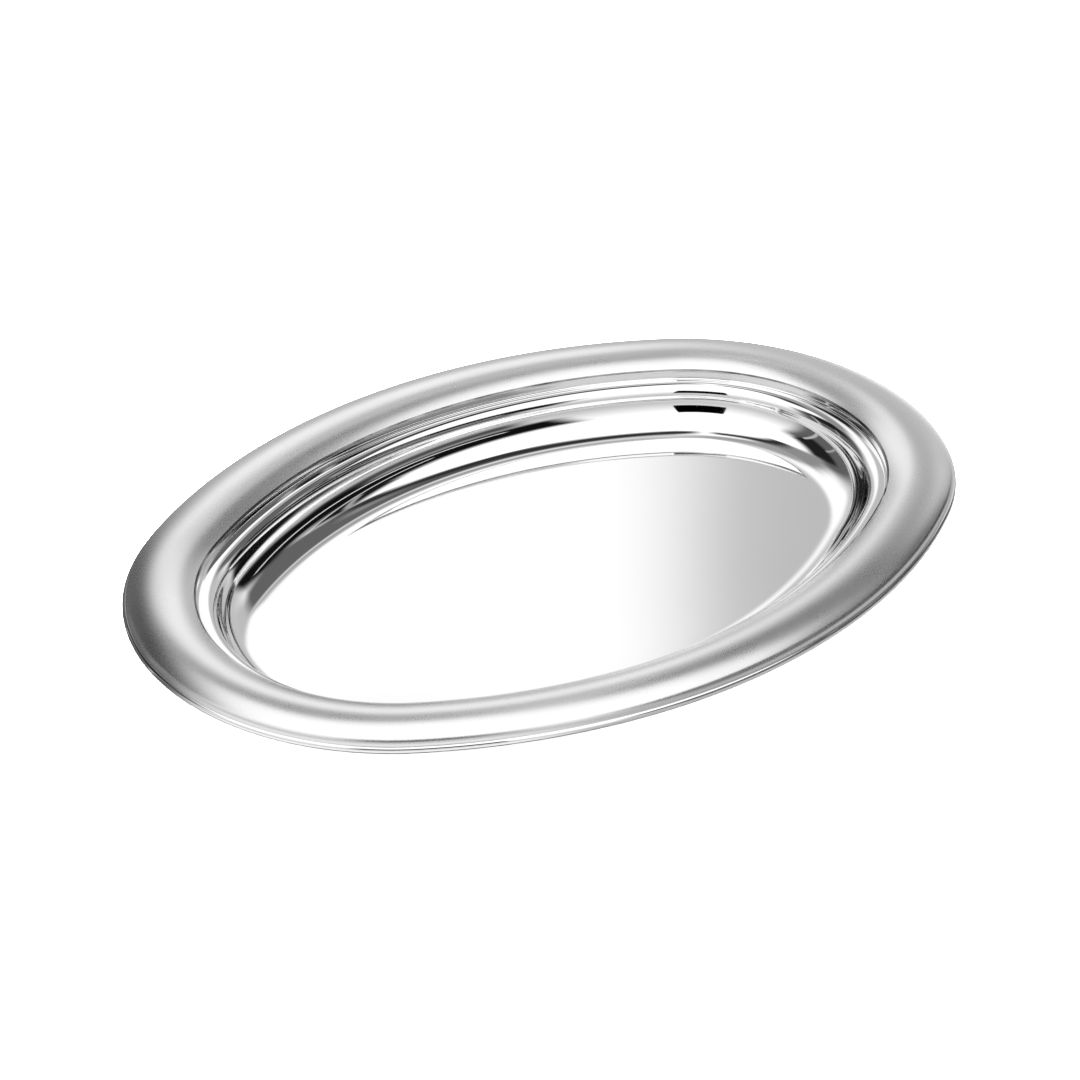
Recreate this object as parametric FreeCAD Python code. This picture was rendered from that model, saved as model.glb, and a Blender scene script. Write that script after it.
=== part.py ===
import FreeCAD, Part
import math
import os

# Oval salver with a deep well and a wide domed border. Millimetres, +Z up.
# Origin: centre of the tray, on the surface it stands on. The long axis is X.
#
# In plan every edge is the same four-centred oval, moved inwards by an inset. Each piece is a
# cross-section, drawn as (inset, height) points, swept round that oval: the inset is counted
# inwards from the border's outer edge, and the height upwards from the underside of the well.

# Overall outline, over the edge wire
OVERALL_LENGTH = 300.0
OVERALL_WIDTH = 214.0
OUTLINE_END_RADIUS = 89.0

# Well: sheet, depth and wall
SHEET = 1.0                # thickness of the tray's body
FLANGE_TOP = 15.6          # top of the flat flange that carries the border
FLANGE_EDGE = 16.0         # inset of the flange's outer edge, hidden under the border
FLOOR_INSET = 41.9         # where the flat floor begins
COVE_RADIUS = 13.4         # from floor to wall
LIP_RADIUS = 4.5           # from wall to flange
WALL_ANGLE = 77.0          # degrees from horizontal

# Border: a domed shell, hollow and open underneath, held by its inner foot
BORDER_WIDTH = 22.2
BORDER_SHEET = 0.8
BORDER_EDGE = 18.5         # height at which the dome's arc meets the border's two sides
BORDER_HEM = 16.2          # lower edge of the border's outer side
DOME_RISE = 4.5            # from BORDER_EDGE to the crown
SHOULDER_RADIUS = 2.5      # the tight turn at the outer edge

# Step moulding: covers the joint of border and flange, and drops from the dome into the well
STEP_TOP = 0.6             # width of its top, which carries on the dome's slope
STEP_NOSE_RADIUS = 0.45    # between its top and its face
STEP_FACE_ANGLE = 86.0     # degrees from horizontal
STEP_COVE_RADIUS = 0.8     # between its face and the flange
STEP_COVE_END = 250.0      # where that cove stops, a hair above the flange

# Edge wire
WIRE_RADIUS = 1.1
WIRE_HEIGHT = 17.3         # height of its centre
MOULDING_ARCS = 4          # arcs that make up each small round

# The oval of the border's outer edge, inside the wire
HALF_LENGTH = OVERALL_LENGTH / 2 - WIRE_RADIUS
HALF_WIDTH = OVERALL_WIDTH / 2 - WIRE_RADIUS
END_RADIUS = OUTLINE_END_RADIUS - WIRE_RADIUS
END_CENTRE = HALF_LENGTH - END_RADIUS
SIDE_RADIUS = (END_CENTRE ** 2 + HALF_WIDTH ** 2 - END_RADIUS ** 2) / (2 * (HALF_WIDTH - END_RADIUS))
SIDE_CENTRE = SIDE_RADIUS - HALF_WIDTH
JOIN_ANGLE = math.degrees(math.atan2(SIDE_CENTRE, END_CENTRE))

# Its four arcs: centre x, centre y, radius, first angle and turn in degrees
OVAL_ARCS = [
    (END_CENTRE, 0.0, END_RADIUS, -JOIN_ANGLE, 2 * JOIN_ANGLE),
    (0.0, -SIDE_CENTRE, SIDE_RADIUS, JOIN_ANGLE, 180.0 - 2 * JOIN_ANGLE),
    (-END_CENTRE, 0.0, END_RADIUS, 180.0 - JOIN_ANGLE, 2 * JOIN_ANGLE),
    (0.0, SIDE_CENTRE, SIDE_RADIUS, 180.0 + JOIN_ANGLE, 180.0 - 2 * JOIN_ANGLE),
]
UP = FreeCAD.Vector(0, 0, 1)


def line(start, end):
    """A straight stretch of a cross-section."""
    return [start, end]


def arc(centre, radius, first, last):
    """A round stretch of a cross-section, between two angles in degrees from the inset axis."""
    angles = (first, (first + last) / 2, last)
    return [
        (centre[0] + radius * math.cos(math.radians(a)), centre[1] + radius * math.sin(math.radians(a)))
        for a in angles
    ]


def small_round(centre, radius, first, last):
    """A round stretch of a small moulding, in equal arcs end to end."""
    step = (last - first) / MOULDING_ARCS
    return [arc(centre, radius, first + n * step, first + (n + 1) * step) for n in range(MOULDING_ARCS)]


def section_face(stretches, place):
    """Closed face of a cross-section, with each point put in space by place."""
    edges = []
    for stretch in stretches:
        points = [place(point) for point in stretch]
        if len(points) == 2:
            edges.append(Part.LineSegment(*points).toShape())
        else:
            edges.append(Part.Arc(*points).toShape())
    return Part.Face(Part.Wire(edges))


def sweep_round_oval(stretches):
    """Solid ring: the cross-section turned about each of the oval's four centres, and joined."""
    sectors = []
    for centre_x, centre_y, radius, first, turn in OVAL_ARCS:
        centre = FreeCAD.Vector(centre_x, centre_y, 0)

        def place(point):
            return centre + FreeCAD.Vector(radius - point[0], 0, point[1])

        face = section_face(stretches, place)
        face.rotate(centre, UP, first)
        sectors.append(face.revolve(centre, UP, turn))
    return sectors[0].fuse(sectors[1:]).removeSplitter()


def oval_plate(inset, thickness):
    """Flat plate of the oval's outline, from height zero up."""
    edges = []
    for centre_x, centre_y, radius, first, turn in OVAL_ARCS:
        circle = Part.Circle(FreeCAD.Vector(centre_x, centre_y, 0), UP, radius - inset)
        edges.append(Part.ArcOfCircle(circle, math.radians(first), math.radians(first + turn)).toShape())
    return Part.Face(Part.Wire(edges)).extrude(UP * thickness)


def make_well_pan():
    """The tray's body, one sheet: floor, deep cove, short wall, rolled lip and flange."""
    angle = math.radians(WALL_ANGLE)
    cove_centre = (FLOOR_INSET, SHEET + COVE_RADIUS)
    wall_foot_inset = FLOOR_INSET - COVE_RADIUS * math.sin(angle)
    wall_foot_height = SHEET + COVE_RADIUS * (1 - math.cos(angle))
    lip_height = FLANGE_TOP - LIP_RADIUS
    wall_inset_at_lip = wall_foot_inset - (lip_height - wall_foot_height) / math.tan(angle)
    lip_centre = (wall_inset_at_lip - LIP_RADIUS / math.sin(angle), lip_height)

    lip_top = arc(lip_centre, LIP_RADIUS, 90.0, 90.0 - WALL_ANGLE)
    cove_top = arc(cove_centre, COVE_RADIUS, 270.0 - WALL_ANGLE, 270.0)
    cove_under = arc(cove_centre, COVE_RADIUS + SHEET, 270.0, 270.0 - WALL_ANGLE)
    lip_under = arc(lip_centre, LIP_RADIUS - SHEET, 90.0 - WALL_ANGLE, 90.0)
    edge_top = (FLANGE_EDGE, FLANGE_TOP)
    edge_under = (FLANGE_EDGE, FLANGE_TOP - SHEET)
    ring = sweep_round_oval([
        line(edge_top, lip_top[0]),
        lip_top,
        line(lip_top[-1], cove_top[0]),
        cove_top,
        line(cove_top[-1], cove_under[0]),
        cove_under,
        line(cove_under[-1], lip_under[0]),
        lip_under,
        line(lip_under[-1], edge_under),
        line(edge_under, edge_top),
    ])
    return ring.fuse(oval_plate(FLOOR_INSET, SHEET)).removeSplitter()


def dome_arc():
    """Centre and radius of the dome's main arc.

    At the inner side the arc comes down to the border's edge height at the full width. At the
    outer side it runs into the shoulder, which ends upright on the outer edge.
    """
    rise = DOME_RISE
    shoulder = SHOULDER_RADIUS
    share = (rise - shoulder) / rise
    a = 1 - share
    b = 2 * (share * BORDER_WIDTH - shoulder)
    c = rise ** 2 - share * (BORDER_WIDTH ** 2 + rise ** 2)
    crown = (-b + math.sqrt(b ** 2 - 4 * a * c)) / (2 * a)
    radius = ((BORDER_WIDTH - crown) ** 2 + rise ** 2) / (2 * rise)
    return (crown, BORDER_EDGE + rise - radius), radius


def angle_at(centre, radius, inset):
    """Angle at which a circle's upper inner quarter reaches an inset."""
    return math.degrees(math.acos((inset - centre[0]) / radius))


def make_rim_dome():
    """The border: a domed shell that stands on the flange by its inner foot."""
    centre, radius = dome_arc()
    shoulder_centre = (SHOULDER_RADIUS, BORDER_EDGE)
    turn = math.degrees(math.atan2(shoulder_centre[1] - centre[1], shoulder_centre[0] - centre[0]))
    foot_inset = BORDER_WIDTH - STEP_TOP
    hollow_inset = foot_inset - BORDER_SHEET

    shoulder_out = arc(shoulder_centre, SHOULDER_RADIUS, 180.0, turn)
    dome_out = arc(centre, radius, turn, angle_at(centre, radius, foot_inset))
    inner_radius = radius - BORDER_SHEET
    dome_in = arc(centre, inner_radius, angle_at(centre, inner_radius, hollow_inset), turn)
    shoulder_in = arc(shoulder_centre, SHOULDER_RADIUS - BORDER_SHEET, turn, 180.0)
    hem = (0.0, BORDER_HEM)
    hem_in = (BORDER_SHEET, BORDER_HEM)
    foot = (foot_inset, FLANGE_TOP)
    foot_in = (hollow_inset, FLANGE_TOP)
    return sweep_round_oval([
        line(hem, shoulder_out[0]),
        shoulder_out,
        dome_out,
        line(dome_out[-1], foot),
        line(foot, foot_in),
        line(foot_in, dome_in[0]),
        dome_in,
        shoulder_in,
        line(shoulder_in[-1], hem_in),
        line(hem_in, hem),
    ])


def make_step_moulding():
    """The polished step between border and flange: sloping top, nose, steep face and small cove."""
    dome_centre, dome_radius = dome_arc()
    back_inset = BORDER_WIDTH - STEP_TOP
    nose_start = angle_at(dome_centre, dome_radius, BORDER_WIDTH)
    nose_end = 90.0 - STEP_FACE_ANGLE
    nose_centre = (
        BORDER_WIDTH - STEP_NOSE_RADIUS * math.cos(math.radians(nose_start)),
        BORDER_EDGE - STEP_NOSE_RADIUS * math.sin(math.radians(nose_start)),
    )
    nose = small_round(nose_centre, STEP_NOSE_RADIUS, nose_start, nose_end)
    face_top = nose[-1][-1]
    face_foot_height = FLANGE_TOP + STEP_COVE_RADIUS * (1 - math.sin(math.radians(nose_end)))
    face_foot_inset = face_top[0] + (face_top[1] - face_foot_height) / math.tan(math.radians(STEP_FACE_ANGLE))
    cove_centre = (
        face_foot_inset + STEP_COVE_RADIUS * math.cos(math.radians(nose_end)),
        FLANGE_TOP + STEP_COVE_RADIUS,
    )
    cove = small_round(cove_centre, STEP_COVE_RADIUS, 180.0 + nose_end, STEP_COVE_END)
    top = arc(dome_centre, dome_radius, angle_at(dome_centre, dome_radius, back_inset), nose_start)
    toe = (cove[-1][-1][0], FLANGE_TOP)
    back_foot = (back_inset, FLANGE_TOP)
    return sweep_round_oval([
        line(back_foot, top[0]),
        top,
        *nose,
        line(face_top, cove[0][0]),
        *cove,
        line(cove[-1][-1], toe),
        line(toe, back_foot),
    ])


def make_edge_wire():
    """The half-round wire round the outer side of the border."""
    round_side = small_round((0.0, WIRE_HEIGHT), WIRE_RADIUS, 90.0, 270.0)
    return sweep_round_oval([
        *round_side,
        line(round_side[-1][-1], round_side[0][0]),
    ])


PIECES = {
    "well_pan": make_well_pan,
    "rim_dome": make_rim_dome,
    "step_moulding": make_step_moulding,
    "edge_wire": make_edge_wire,
}

os.makedirs("parts", exist_ok=True)
for name, make in PIECES.items():
    shape = make()
    solid = shape.Solids[0]
    solid.exportStep("parts/" + name + ".step")
    box = solid.BoundBox
    print(
        name, len(shape.Solids), "solid", solid.isValid(), round(solid.Volume, 1), "mm3,",
        len(solid.Faces), "faces,", [round(v, 3) for v in (box.XLength, box.YLength, box.ZMin, box.ZMax)],
    )
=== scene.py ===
import math

import bpy
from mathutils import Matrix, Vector


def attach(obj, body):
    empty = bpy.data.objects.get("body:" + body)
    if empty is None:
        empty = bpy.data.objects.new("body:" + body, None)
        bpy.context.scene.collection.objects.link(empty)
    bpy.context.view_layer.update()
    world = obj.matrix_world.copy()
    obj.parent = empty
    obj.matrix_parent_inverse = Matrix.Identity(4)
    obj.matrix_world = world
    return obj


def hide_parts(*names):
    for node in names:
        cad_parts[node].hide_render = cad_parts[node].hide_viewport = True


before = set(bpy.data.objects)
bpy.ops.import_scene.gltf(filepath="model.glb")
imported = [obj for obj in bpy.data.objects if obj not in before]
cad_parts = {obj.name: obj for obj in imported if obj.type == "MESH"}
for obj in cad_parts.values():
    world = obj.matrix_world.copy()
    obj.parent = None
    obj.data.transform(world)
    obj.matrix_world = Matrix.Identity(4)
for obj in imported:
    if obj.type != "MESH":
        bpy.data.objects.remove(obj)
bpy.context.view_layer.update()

# An oval silver tray: a polished well, a domed satin border, a step moulding over their joint and
# a half-round wire round the outer edge. Each piece is a cross-section, drawn as (inset, height)
# points, swept round the same four-centred oval. The inset is counted inwards from the border's
# outer edge. X is the long axis, and Z = 0 is the surface that the tray stands on.

# Driving dimensions of the tray, in metres, the same as the CAD's
MM = 0.001
HALF_LENGTH = 148.9 * MM      # border's outer edge, inside the wire
HALF_WIDTH = 105.9 * MM
END_RADIUS = 87.9 * MM        # of the oval's end arcs, at that edge
SHEET = 1.0 * MM              # thickness of the well and its flange
FLANGE_TOP = 15.6 * MM        # height of the flange's upper face
FLANGE_EDGE = 16.0 * MM       # inset of the flange's outer edge, hidden under the border
FLOOR_INSET = 41.9 * MM       # inset at which the flat floor begins
COVE_RADIUS = 13.4 * MM       # between floor and wall
LIP_RADIUS = 4.5 * MM         # between wall and flange
WALL_ANGLE = 77.0             # degrees from level
BORDER_WIDTH = 22.2 * MM
BORDER_SHEET = 0.8 * MM       # thickness of the border
BORDER_EDGE = 18.5 * MM       # height of the border's edges, from which the dome rises
BORDER_HEM = 16.2 * MM        # height of the border's lower outer edge
DOME_RISE = 4.5 * MM
SHOULDER_RADIUS = 2.5 * MM    # of the border's outer shoulder
STEP_TOP = 0.6 * MM           # width of the step moulding where it carries the dome on
STEP_NOSE_RADIUS = 0.45 * MM
STEP_FACE_ANGLE = 86.0        # degrees from level
STEP_COVE_RADIUS = 0.8 * MM   # between the step's face and the flange
STEP_COVE_END = 250.0         # direction in which that cove ends, in degrees
WIRE_RADIUS = 1.1 * MM
WIRE_HEIGHT = 17.3 * MM       # height of the wire's centre

# The four-centred oval of the border's outer edge
END_CENTRE = HALF_LENGTH - END_RADIUS
SIDE_RADIUS = (END_CENTRE ** 2 + HALF_WIDTH ** 2 - END_RADIUS ** 2) / (2 * (HALF_WIDTH - END_RADIUS))
SIDE_CENTRE = SIDE_RADIUS - HALF_WIDTH
JOIN_ANGLE = math.degrees(math.atan2(SIDE_CENTRE, END_CENTRE))

# Mesh steps round the oval, across the flat floor and along each stretch of the sections
END_STEPS = 120               # round each end arc
SIDE_STEPS = 140              # round each side arc
FLOOR_RINGS = 10
LIP_STEPS = 28
LIP_UNDER_STEPS = 14
COVE_STEPS = 44
COVE_UNDER_STEPS = 20
WALL_STEPS = 2
FLANGE_STEPS = 6
FLANGE_UNDER_STEPS = 4
SHOULDER_STEPS = 16
SHOULDER_INNER_STEPS = 6
DOME_STEPS = 40
DOME_INNER_STEPS = 16
STEP_TOP_STEPS = 4
STEP_NOSE_STEPS = 12
STEP_FACE_STEPS = 2
STEP_COVE_STEPS = 14
WIRE_STEPS = 24
SHARP_ANGLE = 30.0            # edges that turn more than this many degrees stay sharp

# Materials: colours, noise scales per metre, roughness ranges and depths of the surface's waves
POLISHED_COLOUR = (0.93, 0.93, 0.93, 1.0)
POLISHED_ROUGHNESS = (0.02, 0.06)
POLISHED_HAZE_SCALE = 60.0    # patches of finer and coarser polish
POLISHED_WAVE_SCALE = 30.0    # the slight unevenness of the polished sheet
POLISHED_WAVE_DEPTH = 0.02 * MM
# Painted dark reflection: a dark line painted into the step moulding's colour near its top, standing in
# for the dark reflection there.
PAINTED_DARK_REFLECTION_COLOUR = (0.06, 0.06, 0.06, 1.0)
PAINTED_DARK_REFLECTION_FOOT = 18.3 * MM      # height at which the painted dark reflection on the step moulding begins
PAINTED_DARK_REFLECTION_TOP = 18.6 * MM       # and above which it is darkest
PAINTED_DARK_REFLECTION_SCALE = 90.0          # patches along the line
PAINTED_DARK_REFLECTION_STRENGTH = (0.6, 1.0)
SATIN_COLOUR = (0.88, 0.88, 0.88, 1.0)
SATIN_GRAIN_SCALE = 2600.0
SATIN_GRAIN_ROUGHNESS = (0.0, 0.05)
SATIN_GRAIN_DEPTH = 0.006 * MM
SATIN_WEAR_SCALE = 40.0       # broad patches of wear
SATIN_WEAR_ROUGHNESS = (0.25, 0.28)
SMOOTH_DETAIL = 2.0           # octaves of a soft noise
FINE_DETAIL = 4.0             # and of a finely divided one
NOISE_RANGE = (0.3, 0.7)      # most of a noise's values lie in here


# ---------------------------------------------------------------- sections and sweeps

def arc(centre, radius, first, last, steps):
    """Points of a round stretch of a section, as (inset, height)."""
    turn = [math.radians(first + (last - first) * n / steps) for n in range(steps + 1)]
    return [(centre[0] + radius * math.cos(a), centre[1] + radius * math.sin(a)) for a in turn]


def straight(start, end, steps=1):
    """Points of a straight stretch of a section."""
    return [
        (start[0] + (end[0] - start[0]) * n / steps, start[1] + (end[1] - start[1]) * n / steps)
        for n in range(steps + 1)
    ]


def join(*stretches):
    """One row of points from stretches that meet end to end."""
    points = list(stretches[0])
    for stretch in stretches[1:]:
        points.extend(stretch[1:])
    return points


def oval_stations():
    """Centre, radius and outward direction at each step round the oval, at its outer edge."""
    arcs = [
        (END_CENTRE, 0.0, END_RADIUS, -JOIN_ANGLE, 2 * JOIN_ANGLE, END_STEPS),
        (0.0, -SIDE_CENTRE, SIDE_RADIUS, JOIN_ANGLE, 180.0 - 2 * JOIN_ANGLE, SIDE_STEPS),
        (-END_CENTRE, 0.0, END_RADIUS, 180.0 - JOIN_ANGLE, 2 * JOIN_ANGLE, END_STEPS),
        (0.0, SIDE_CENTRE, SIDE_RADIUS, 180.0 + JOIN_ANGLE, 180.0 - 2 * JOIN_ANGLE, SIDE_STEPS),
    ]
    stations = []
    for centre_x, centre_y, radius, first, turn, steps in arcs:
        for n in range(steps):
            angle = math.radians(first + turn * n / steps)
            stations.append((centre_x, centre_y, radius, math.cos(angle), math.sin(angle)))
    return stations


STATIONS = oval_stations()


def on_oval(station, inset, height):
    """The point at a station, an inset and a height."""
    centre_x, centre_y, radius, cos_a, sin_a = station
    return (centre_x + (radius - inset) * cos_a, centre_y + (radius - inset) * sin_a, height)


def row_lengths(points):
    """Distance along a row of points, at each of them."""
    total = [0.0]
    for a, b in zip(points, points[1:]):
        total.append(total[-1] + math.dist(a, b))
    return total


def finish_mesh(name, vertices, faces, uvs):
    """A smooth-shaded object of that mesh, with its UVs."""
    mesh = bpy.data.meshes.new(name)
    mesh.from_pydata(vertices, [], faces)
    layer = mesh.uv_layers.new(name="surface")
    for polygon, face_uvs in zip(mesh.polygons, uvs):
        for loop, uv in zip(polygon.loop_indices, face_uvs):
            layer.data[loop].uv = uv
    mesh.polygons.foreach_set("use_smooth", [True] * len(mesh.polygons))
    mesh.update()
    mesh.set_sharp_from_angle(angle=math.radians(SHARP_ANGLE))
    piece = bpy.data.objects.new(name, mesh)
    bpy.context.scene.collection.objects.link(piece)
    return piece


def sweep(section, closed):
    """Vertices, faces and UVs (metres round the oval, metres along the section) of a swept section."""
    rows = len(section)
    vertices = [on_oval(station, inset, height) for station in STATIONS for inset, height in section]
    along = row_lengths(section + section[:1])
    round_way = [0.0]
    count = len(STATIONS)
    for n in range(count):
        round_way.append(round_way[-1] + math.dist(
            on_oval(STATIONS[n], 0.0, 0.0), on_oval(STATIONS[(n + 1) % count], 0.0, 0.0)))
    faces, uvs = [], []
    for n in range(count):
        here, there = n * rows, ((n + 1) % count) * rows
        for k in range(rows if closed else rows - 1):
            nxt = (k + 1) % rows
            faces.append((here + k, here + nxt, there + nxt, there + k))
            uvs.append(((round_way[n], along[k]), (round_way[n], along[k + 1]),
                        (round_way[n + 1], along[k + 1]), (round_way[n + 1], along[k])))
    return vertices, faces, uvs


def floor_fill(vertices, faces, uvs, ring, height, upward):
    """Fills the flat oval inside a ring of vertices with rings of quads round a middle point."""
    count = len(ring)
    previous = ring
    for n in range(1, FLOOR_RINGS):
        share = 1 - n / FLOOR_RINGS
        start = len(vertices)
        for index in ring:
            x, y, _ = vertices[index]
            vertices.append((x * share, y * share, height))
        here = list(range(start, start + count))
        for k in range(count):
            nxt = (k + 1) % count
            quad = (previous[k], here[k], here[nxt], previous[nxt])
            faces.append(quad[::-1] if upward else quad)
        previous = here
    vertices.append((0.0, 0.0, height))
    middle = len(vertices) - 1
    for k in range(count):
        nxt = (k + 1) % count
        triangle = (previous[k], middle, previous[nxt])
        faces.append(triangle[::-1] if upward else triangle)
    for face in faces[len(uvs):]:
        uvs.append(tuple((vertices[v][0], vertices[v][1]) for v in face))


# ---------------------------------------------------------------- pieces

def make_well_pan():
    """The body: floor, cove, wall, lip and flange, one sheet, closed by its flat floor."""
    angle = math.radians(WALL_ANGLE)
    cove_centre = (FLOOR_INSET, SHEET + COVE_RADIUS)
    foot_inset = FLOOR_INSET - COVE_RADIUS * math.sin(angle)
    foot_height = SHEET + COVE_RADIUS * (1 - math.cos(angle))
    lip_height = FLANGE_TOP - LIP_RADIUS
    lip_inset = foot_inset - (lip_height - foot_height) / math.tan(angle) - LIP_RADIUS / math.sin(angle)
    lip_centre = (lip_inset, lip_height)
    lip_top = arc(lip_centre, LIP_RADIUS, 90.0, 90.0 - WALL_ANGLE, LIP_STEPS)
    cove_top = arc(cove_centre, COVE_RADIUS, 270.0 - WALL_ANGLE, 270.0, COVE_STEPS)
    cove_under = arc(
        cove_centre, COVE_RADIUS + SHEET, 270.0, 270.0 - WALL_ANGLE, COVE_UNDER_STEPS)
    lip_under = arc(lip_centre, LIP_RADIUS - SHEET, 90.0 - WALL_ANGLE, 90.0, LIP_UNDER_STEPS)
    edge_top, edge_under = (FLANGE_EDGE, FLANGE_TOP), (FLANGE_EDGE, FLANGE_TOP - SHEET)
    section = join(
        cove_under, straight(cove_under[-1], lip_under[0], WALL_STEPS), lip_under,
        straight(lip_under[-1], edge_under, FLANGE_UNDER_STEPS), straight(edge_under, edge_top),
        straight(edge_top, lip_top[0], FLANGE_STEPS), lip_top,
        straight(lip_top[-1], cove_top[0], WALL_STEPS), cove_top)
    vertices, faces, uvs = sweep(section, closed=False)
    rows = len(section)
    under_ring = [n * rows for n in range(len(STATIONS))]
    top_ring = [index + rows - 1 for index in under_ring]
    floor_fill(vertices, faces, uvs, top_ring, SHEET, upward=True)
    floor_fill(vertices, faces, uvs, under_ring, 0.0, upward=False)
    return finish_mesh("well_pan_sheet", vertices, faces, uvs)


def dome_arc():
    """Centre and radius of the dome's main arc, which meets the shoulder's arc smoothly."""
    share = (DOME_RISE - SHOULDER_RADIUS) / DOME_RISE
    a = 1 - share
    b = 2 * (share * BORDER_WIDTH - SHOULDER_RADIUS)
    c = DOME_RISE ** 2 - share * (BORDER_WIDTH ** 2 + DOME_RISE ** 2)
    crown = (-b + math.sqrt(b ** 2 - 4 * a * c)) / (2 * a)
    radius = ((BORDER_WIDTH - crown) ** 2 + DOME_RISE ** 2) / (2 * DOME_RISE)
    return (crown, BORDER_EDGE + DOME_RISE - radius), radius


def angle_at(centre, radius, inset):
    """Angle at which a circle's upper inner quarter reaches an inset."""
    return math.degrees(math.acos((inset - centre[0]) / radius))


def make_rim_dome():
    """The border: a hollow dome, open underneath, on an inner foot that stands on the flange."""
    centre, radius = dome_arc()
    shoulder = (SHOULDER_RADIUS, BORDER_EDGE)
    turn = math.degrees(math.atan2(shoulder[1] - centre[1], shoulder[0] - centre[0]))
    foot_inset = BORDER_WIDTH - STEP_TOP
    hollow_inset = foot_inset - BORDER_SHEET
    inner_radius = radius - BORDER_SHEET
    shoulder_out = arc(shoulder, SHOULDER_RADIUS, 180.0, turn, SHOULDER_STEPS)
    dome_out = arc(centre, radius, turn, angle_at(centre, radius, foot_inset), DOME_STEPS)
    dome_in = arc(
        centre, inner_radius, angle_at(centre, inner_radius, hollow_inset), turn, DOME_INNER_STEPS)
    shoulder_in = arc(shoulder, SHOULDER_RADIUS - BORDER_SHEET, turn, 180.0, SHOULDER_INNER_STEPS)
    foot, foot_in = (foot_inset, FLANGE_TOP), (hollow_inset, FLANGE_TOP)
    section = join(
        straight((0.0, BORDER_HEM), shoulder_out[0]), shoulder_out, dome_out,
        straight(dome_out[-1], foot), straight(foot, foot_in), straight(foot_in, dome_in[0]),
        dome_in, shoulder_in, straight(shoulder_in[-1], (BORDER_SHEET, BORDER_HEM)))
    return finish_mesh("rim_dome_shell", *sweep(section, closed=True))


def make_step_moulding():
    """The polished step over the joint: it carries the dome on to a nose, a face and a cove."""
    centre, radius = dome_arc()
    back_inset = BORDER_WIDTH - STEP_TOP
    nose_start = angle_at(centre, radius, BORDER_WIDTH)
    nose_end = 90.0 - STEP_FACE_ANGLE
    start = math.radians(nose_start)
    end = math.radians(nose_end)
    nose_centre = (
        BORDER_WIDTH - STEP_NOSE_RADIUS * math.cos(start),
        BORDER_EDGE - STEP_NOSE_RADIUS * math.sin(start))
    nose = arc(nose_centre, STEP_NOSE_RADIUS, nose_start, nose_end, STEP_NOSE_STEPS)
    face_top_inset, face_top_height = nose[-1]
    foot_height = FLANGE_TOP + STEP_COVE_RADIUS * (1 - math.sin(end))
    face_run = (face_top_height - foot_height) / math.tan(math.radians(STEP_FACE_ANGLE))
    cove_centre = (
        face_top_inset + face_run + STEP_COVE_RADIUS * math.cos(end),
        FLANGE_TOP + STEP_COVE_RADIUS)
    cove = arc(cove_centre, STEP_COVE_RADIUS, 180.0 + nose_end, STEP_COVE_END, STEP_COVE_STEPS)
    top = arc(centre, radius, angle_at(centre, radius, back_inset), nose_start, STEP_TOP_STEPS)
    section = join(
        straight((back_inset, FLANGE_TOP), top[0]), top, nose,
        straight(nose[-1], cove[0], STEP_FACE_STEPS), cove,
        straight(cove[-1], (cove[-1][0], FLANGE_TOP)))
    return finish_mesh("step_moulding_ring", *sweep(section, closed=True))


def make_edge_wire():
    """The half-round wire on the border's outer face."""
    section = arc((0.0, WIRE_HEIGHT), WIRE_RADIUS, 90.0, 270.0, WIRE_STEPS)
    return finish_mesh("edge_wire_moulding", *sweep(section, closed=True))


# ---------------------------------------------------------------- materials

def new_material(name):
    """A metal, and with it its nodes, its links and its shader."""
    material = bpy.data.materials.new(name)
    material.use_nodes = True
    nodes = material.node_tree.nodes
    nodes.clear()
    shader = nodes.new("ShaderNodeBsdfPrincipled")
    output = nodes.new("ShaderNodeOutputMaterial")
    material.node_tree.links.new(shader.outputs["BSDF"], output.inputs["Surface"])
    shader.inputs["Metallic"].default_value = 1.0
    return material, nodes, material.node_tree.links, shader


def noise(nodes, links, vector, scale, detail):
    """A noise's value at a place."""
    node = nodes.new("ShaderNodeTexNoise")
    node.inputs["Scale"].default_value = scale
    node.inputs["Detail"].default_value = detail
    links.new(vector, node.inputs["Vector"])
    return node.outputs["Fac"]


def spread(nodes, links, value, to_range, from_range=NOISE_RANGE):
    """The value, with one range of it spread over another and held at its ends."""
    node = nodes.new("ShaderNodeMapRange")
    for name, number in zip(("From Min", "From Max", "To Min", "To Max"), from_range + to_range):
        node.inputs[name].default_value = number
    links.new(value, node.inputs["Value"])
    return node.outputs["Result"]


def math_node(nodes, links, operation, a, b=None):
    """The output of a maths node on one or two values, each a number or a node's output."""
    node = nodes.new("ShaderNodeMath")
    node.operation = operation
    for socket, value in zip(node.inputs, (a, b)):
        if isinstance(value, (int, float)):
            socket.default_value = value
        elif value is not None:
            links.new(value, socket)
    return node.outputs[0]


def bump(nodes, links, height, depth):
    """The surface's direction, tilted by waves of that depth."""
    node = nodes.new("ShaderNodeBump")
    node.inputs["Distance"].default_value = depth
    node.inputs["Strength"].default_value = 1.0
    links.new(height, node.inputs["Height"])
    return node.outputs["Normal"]


def polished_silver():
    """Mirror polish with faint haze, on sheet that isn't perfectly even."""
    material, nodes, links, shader = new_material("polished_silver")
    place = nodes.new("ShaderNodeTexCoord").outputs["Object"]
    shader.inputs["Base Color"].default_value = POLISHED_COLOUR
    haze = noise(nodes, links, place, POLISHED_HAZE_SCALE, FINE_DETAIL)
    links.new(spread(nodes, links, haze, POLISHED_ROUGHNESS), shader.inputs["Roughness"])
    wave = noise(nodes, links, place, POLISHED_WAVE_SCALE, SMOOTH_DETAIL)
    links.new(bump(nodes, links, wave, POLISHED_WAVE_DEPTH), shader.inputs["Normal"])
    return material


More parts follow.
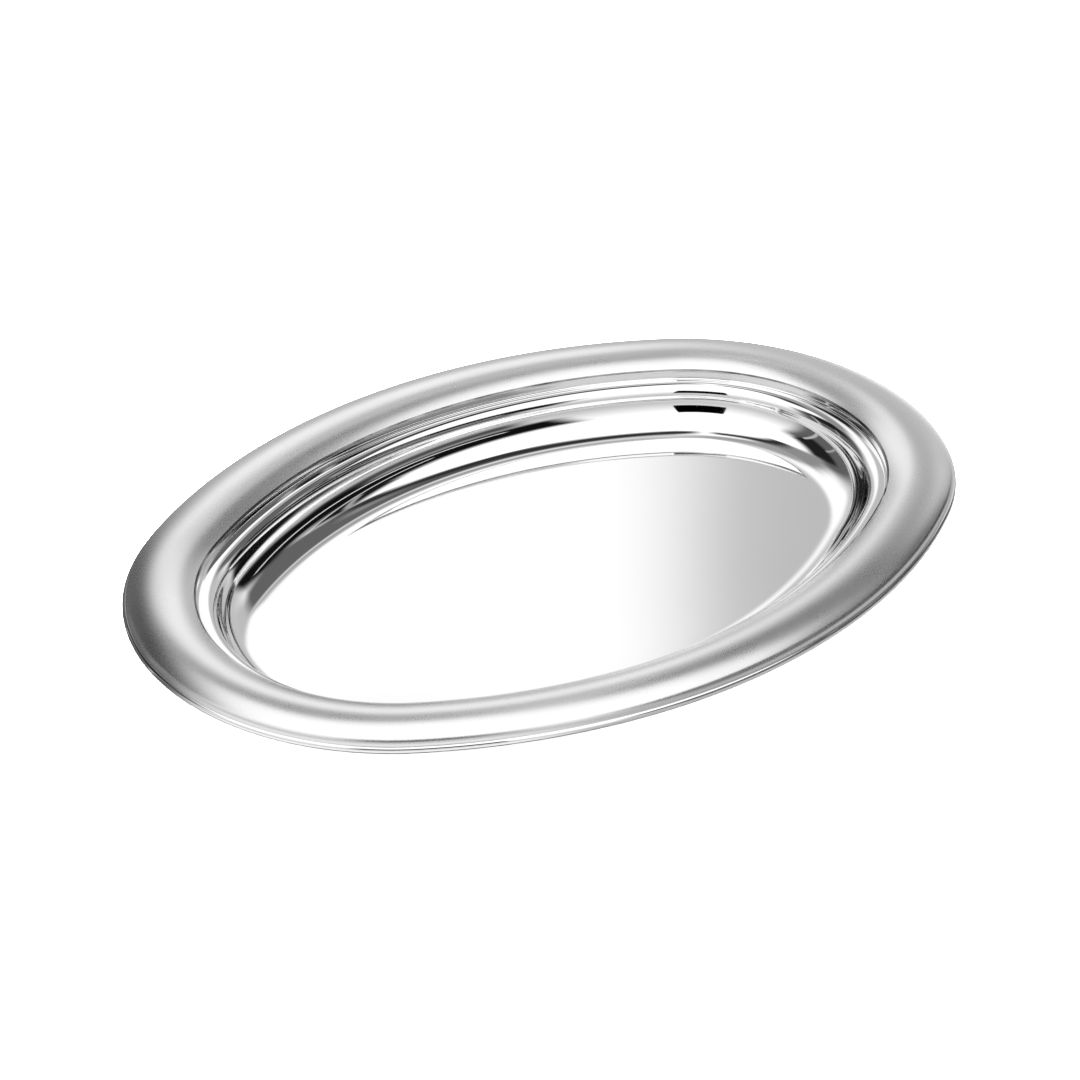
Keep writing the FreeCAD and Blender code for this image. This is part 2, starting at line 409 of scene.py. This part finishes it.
def polished_silver_with_painted_dark_line():
    """Polished silver with a painted dark reflection: a thin dark line in its colour along the joint
    with the border.
    """
    material = polished_silver()
    material.name = "polished_silver_painted_dark_reflection"
    nodes, links = material.node_tree.nodes, material.node_tree.links
    shader = nodes["Principled BSDF"]
    place = nodes.new("ShaderNodeTexCoord").outputs["Object"]
    split = nodes.new("ShaderNodeSeparateXYZ")
    links.new(place, split.inputs[0])
    line = spread(nodes, links, split.outputs["Z"], (0.0, 1.0), (PAINTED_DARK_REFLECTION_FOOT, PAINTED_DARK_REFLECTION_TOP))
    patches = noise(nodes, links, place, PAINTED_DARK_REFLECTION_SCALE, FINE_DETAIL)
    strength = spread(nodes, links, patches, PAINTED_DARK_REFLECTION_STRENGTH)
    # the painted dark reflection: dark colour mixed into the base colour along that line
    colour = nodes.new("ShaderNodeMix")
    colour.data_type = "RGBA"
    colour.inputs["A"].default_value = POLISHED_COLOUR
    colour.inputs["B"].default_value = PAINTED_DARK_REFLECTION_COLOUR
    links.new(math_node(nodes, links, "MULTIPLY", line, strength), colour.inputs["Factor"])
    links.new(colour.outputs["Result"], shader.inputs["Base Color"])
    return material


def satin_silver():
    """A fine even grain, whose roughness varies a little in broad patches."""
    material, nodes, links, shader = new_material("satin_silver")
    place = nodes.new("ShaderNodeTexCoord").outputs["Object"]
    shader.inputs["Base Color"].default_value = SATIN_COLOUR
    grain = noise(nodes, links, place, SATIN_GRAIN_SCALE, FINE_DETAIL)
    wear = noise(nodes, links, place, SATIN_WEAR_SCALE, FINE_DETAIL)
    fine = spread(nodes, links, grain, SATIN_GRAIN_ROUGHNESS)
    broad = spread(nodes, links, wear, SATIN_WEAR_ROUGHNESS)
    links.new(math_node(nodes, links, "ADD", fine, broad), shader.inputs["Roughness"])
    links.new(bump(nodes, links, grain, SATIN_GRAIN_DEPTH), shader.inputs["Normal"])
    return material


# ---------------------------------------------------------------- build

POLISHED = polished_silver()
POLISHED_PAINTED_DARK_LINE = polished_silver_with_painted_dark_line()
SATIN = satin_silver()
for node, make, material, slot in (
    ("well_pan", make_well_pan, POLISHED, "polished_silver"),
    ("rim_dome", make_rim_dome, SATIN, "satin_silver"),
    ("step_moulding", make_step_moulding, POLISHED_PAINTED_DARK_LINE, "polished_silver"),
    ("edge_wire", make_edge_wire, POLISHED, "polished_silver"),
):
    piece = make()
    piece.data.materials.append(material)
    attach(piece, "root")
    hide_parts(node)


# ---------------------------------------------------------------- studio

FLOOR_SIZE = 8.0
FLOOR_GAP = 0.0001            # keeps the floor's face clear of the tray's flat underside
FLOOR_COLOUR = (0.95, 0.95, 0.95, 1.0)
FLOOR_LIGHT = 7.0             # strength of the even white light that the floor gets
TENT_COLUMNS = 64             # mesh steps round the tent
TENT_ROWS = 32                # and from its bottom to its top
TENT_RADIUS = 0.6             # a light tent round the tray, which only its reflections show
TENT_TOP = 1.25               # brightness of its cloth overhead
TENT_FOOT = 0.50              # and at the table line and below
TENT_RISE = 60.0              # elevation at which it reaches its full brightness, in degrees

# Cards hung in the tent, each laid over those before it. In degrees: azimuth and
# half-width, elevation and half-height, degrees of rise per degree of azimuth, edge softness. Then
# its brightness. Azimuth 0 is +Y and 90 is +X. The camera stands at about azimuth -142.
CARDS = [
    (-28, 33, 10, 37, 0.0, 8, 0.12),        # dark, behind the tray on the left
    (-28, 20, 36, 11, 0.0, 4, 0.015),       # its black upper part
    (-46, 1.5, 14, 22, 0.1, 1, 0.50),       # and two bright upright slits in it
    (-26, 1.0, 8, 18, -0.1, 1, 0.40),
    (11, 20, 52, 12, 0.0, 6, 0.28),         # grey, high up behind the tray
    (60, 14, 28, 12, 0.0, 8, 0.54),         # light grey, which the floor's right part shows
    (75, 24, 45, 12, -0.2, 5, 0.13),        # grey below the right part of the black bar
    (38, 11, 49, 7, -0.4, 3, 0.36),         # and below its middle
    (18, 27, 63, 4, 0.0, 3, 0.03),          # the black bar overhead, in three lengths
    (64, 14, 61, 5, 0.0, 3, 0.03),
    (87, 13, 56, 4, -0.4, 3, 0.03),
    (147, 28, 34, 11, 0.0, 4, 0.005),       # black, on the right, nearer the camera
    (143, 25, 16, 6, 0.0, 4, 0.08),         # with dark grey below it
    (110, 22, 24, 15, 0.3, 5, 0.005),       # black, on the right, further back
    (112, 12, 43, 6, -0.1, 3, 0.01),        # with a raised top
    (128, 34, 27, 0.8, 0.1, 0.6, 0.90),     # and three long bright slits across the black
    (120, 22, 38, 0.6, -0.1, 0.5, 0.80),
    (110, 8, 44, 1.0, -0.5, 0.8, 0.40),
    (30, 15, 31, 11, 0.0, 5, 1.10),         # white, which the floor's left part shows
    (57, 12, 8, 10, 0.0, 6, 0.55),          # grey and white, low down behind the tray
    (66, 10, -8, 13, 0.0, 5, 1.10),
    (30, 45, -45, 18, 0.0, 8, 0.12),        # dark below the table line, behind the tray
    (-120, 50, -24, 30, 0.0, 10, 0.95),     # white below it, on the camera's side
    (0, 200, -78, 22, 0.0, 5, 0.15),        # dark straight below, the whole way round
    (-140, 20, 36, 12, 0.0, 0.5, 0.0),      # black, round the camera
]


def stage_mesh(name, vertices, faces, material):
    """An object that belongs to the studio and not to the tray."""
    mesh = bpy.data.meshes.new(name)
    mesh.from_pydata(vertices, [], faces)
    mesh.materials.append(material)
    item = bpy.data.objects.new(name, mesh)
    bpy.context.scene.collection.objects.link(item)
    return item


def make_floor():
    material = bpy.data.materials.new("studio_floor")
    material.use_nodes = True
    shader = material.node_tree.nodes["Principled BSDF"]
    shader.inputs["Base Color"].default_value = FLOOR_COLOUR
    shader.inputs["Roughness"].default_value = 1.0
    shader.inputs["Specular IOR Level"].default_value = 0.0
    half = FLOOR_SIZE / 2
    around = ((-half, -half), (half, -half), (half, half), (-half, half))
    corners = [(x, y, -FLOOR_GAP) for x, y in around]
    floor = stage_mesh("studio_floor", corners, [(0, 1, 2, 3)], material)
    floor.visible_glossy = False


def make_world():
    world = bpy.data.worlds.new("studio")
    bpy.context.scene.world = world
    world.use_nodes = True
    background = world.node_tree.nodes["Background"]
    background.inputs["Color"].default_value = (1.0, 1.0, 1.0, 1.0)
    background.inputs["Strength"].default_value = FLOOR_LIGHT


def tent_material():
    """The tent's glow: brighter cloth overhead, with the cards laid over it."""
    material = bpy.data.materials.new("light_tent")
    material.use_nodes = True
    nodes, links = material.node_tree.nodes, material.node_tree.links
    nodes.clear()

    def calc(operation, a, b=None):
        return math_node(nodes, links, operation, a, b)

    def ramp(value, from_range, to_range):
        result = spread(nodes, links, value, to_range, from_range)
        result.node.interpolation_type = "SMOOTHSTEP"
        return result

    coords = nodes.new("ShaderNodeTexCoord")
    unit = nodes.new("ShaderNodeVectorMath")
    unit.operation = "NORMALIZE"
    links.new(coords.outputs["Object"], unit.inputs[0])
    split = nodes.new("ShaderNodeSeparateXYZ")
    links.new(unit.outputs["Vector"], split.inputs[0])
    x, y, z = split.outputs
    azimuth = calc("MULTIPLY", calc("ARCTAN2", x, y), math.degrees(1))
    elevation = calc("MULTIPLY", calc("ARCSINE", z), math.degrees(1))
    level = ramp(elevation, (0, TENT_RISE), (TENT_FOOT, TENT_TOP))
    for az, az_half, el, el_half, slope, soft, value in CARDS:
        sideways = calc("SUBTRACT", azimuth, az)
        across = ramp(calc("ABSOLUTE", sideways), (az_half - soft, az_half + soft), (1, 0))
        middle = calc("ADD", calc("MULTIPLY", sideways, slope), el)
        upward = calc("ABSOLUTE", calc("SUBTRACT", elevation, middle))
        upright = ramp(upward, (el_half - soft, el_half + soft), (1, 0))
        mix = nodes.new("ShaderNodeMix")
        mix.data_type = "FLOAT"
        links.new(calc("MULTIPLY", across, upright), mix.inputs["Factor"])
        links.new(level, mix.inputs["A"])
        mix.inputs["B"].default_value = value
        level = mix.outputs["Result"]
    glow = nodes.new("ShaderNodeEmission")
    links.new(level, glow.inputs["Strength"])
    output = nodes.new("ShaderNodeOutputMaterial")
    links.new(glow.outputs["Emission"], output.inputs["Surface"])
    return material


def make_tent():
    """A glowing ball round the tray that only glossy rays see."""
    vertices = []
    for row in range(TENT_ROWS + 1):
        elevation = math.radians(-90 + 180 * row / TENT_ROWS)
        for column in range(TENT_COLUMNS):
            azimuth = 2 * math.pi * column / TENT_COLUMNS
            vertices.append((
                TENT_RADIUS * math.sin(azimuth) * math.cos(elevation),
                TENT_RADIUS * math.cos(azimuth) * math.cos(elevation),
                TENT_RADIUS * math.sin(elevation)))
    faces = []
    for row in range(TENT_ROWS):
        for column in range(TENT_COLUMNS):
            here = row * TENT_COLUMNS + column
            beside = row * TENT_COLUMNS + (column + 1) % TENT_COLUMNS
            faces.append((here, beside, beside + TENT_COLUMNS, here + TENT_COLUMNS))
    tent = stage_mesh("light_tent", vertices, faces, tent_material())
    for ray in ("camera", "diffuse", "transmission", "volume_scatter", "shadow"):
        setattr(tent, "visible_" + ray, False)


# Camera: the point it looks at, and where it stands from there
VIEW_TARGET = Vector((9.7 * MM, 19.3 * MM, -1.7 * MM))
VIEW_AZIMUTH = -37.9          # degrees round from the -Y side
VIEW_ELEVATION = 32.15        # degrees above the table
VIEW_DISTANCE = 1006.0 * MM
LENS = 98.7                   # focal length in millimetres
SENSOR = 36.0                 # sensor width in millimetres
CLIP_START = 0.01


def make_camera():
    azimuth, elevation = math.radians(VIEW_AZIMUTH), math.radians(VIEW_ELEVATION)
    back = Vector((
        math.sin(azimuth) * math.cos(elevation),
        -math.cos(azimuth) * math.cos(elevation),
        math.sin(elevation)))
    data = bpy.data.cameras.new("camera")
    data.lens = LENS
    data.sensor_width = SENSOR
    data.clip_start = CLIP_START
    camera = bpy.data.objects.new("camera", data)
    camera.location = VIEW_TARGET + back * VIEW_DISTANCE
    camera.rotation_euler = back.to_track_quat("Z", "Y").to_euler()
    bpy.context.scene.collection.objects.link(camera)
    bpy.context.scene.camera = camera


make_floor()
make_world()
make_tent()
make_camera()
bpy.context.scene.view_settings.view_transform = "Standard"
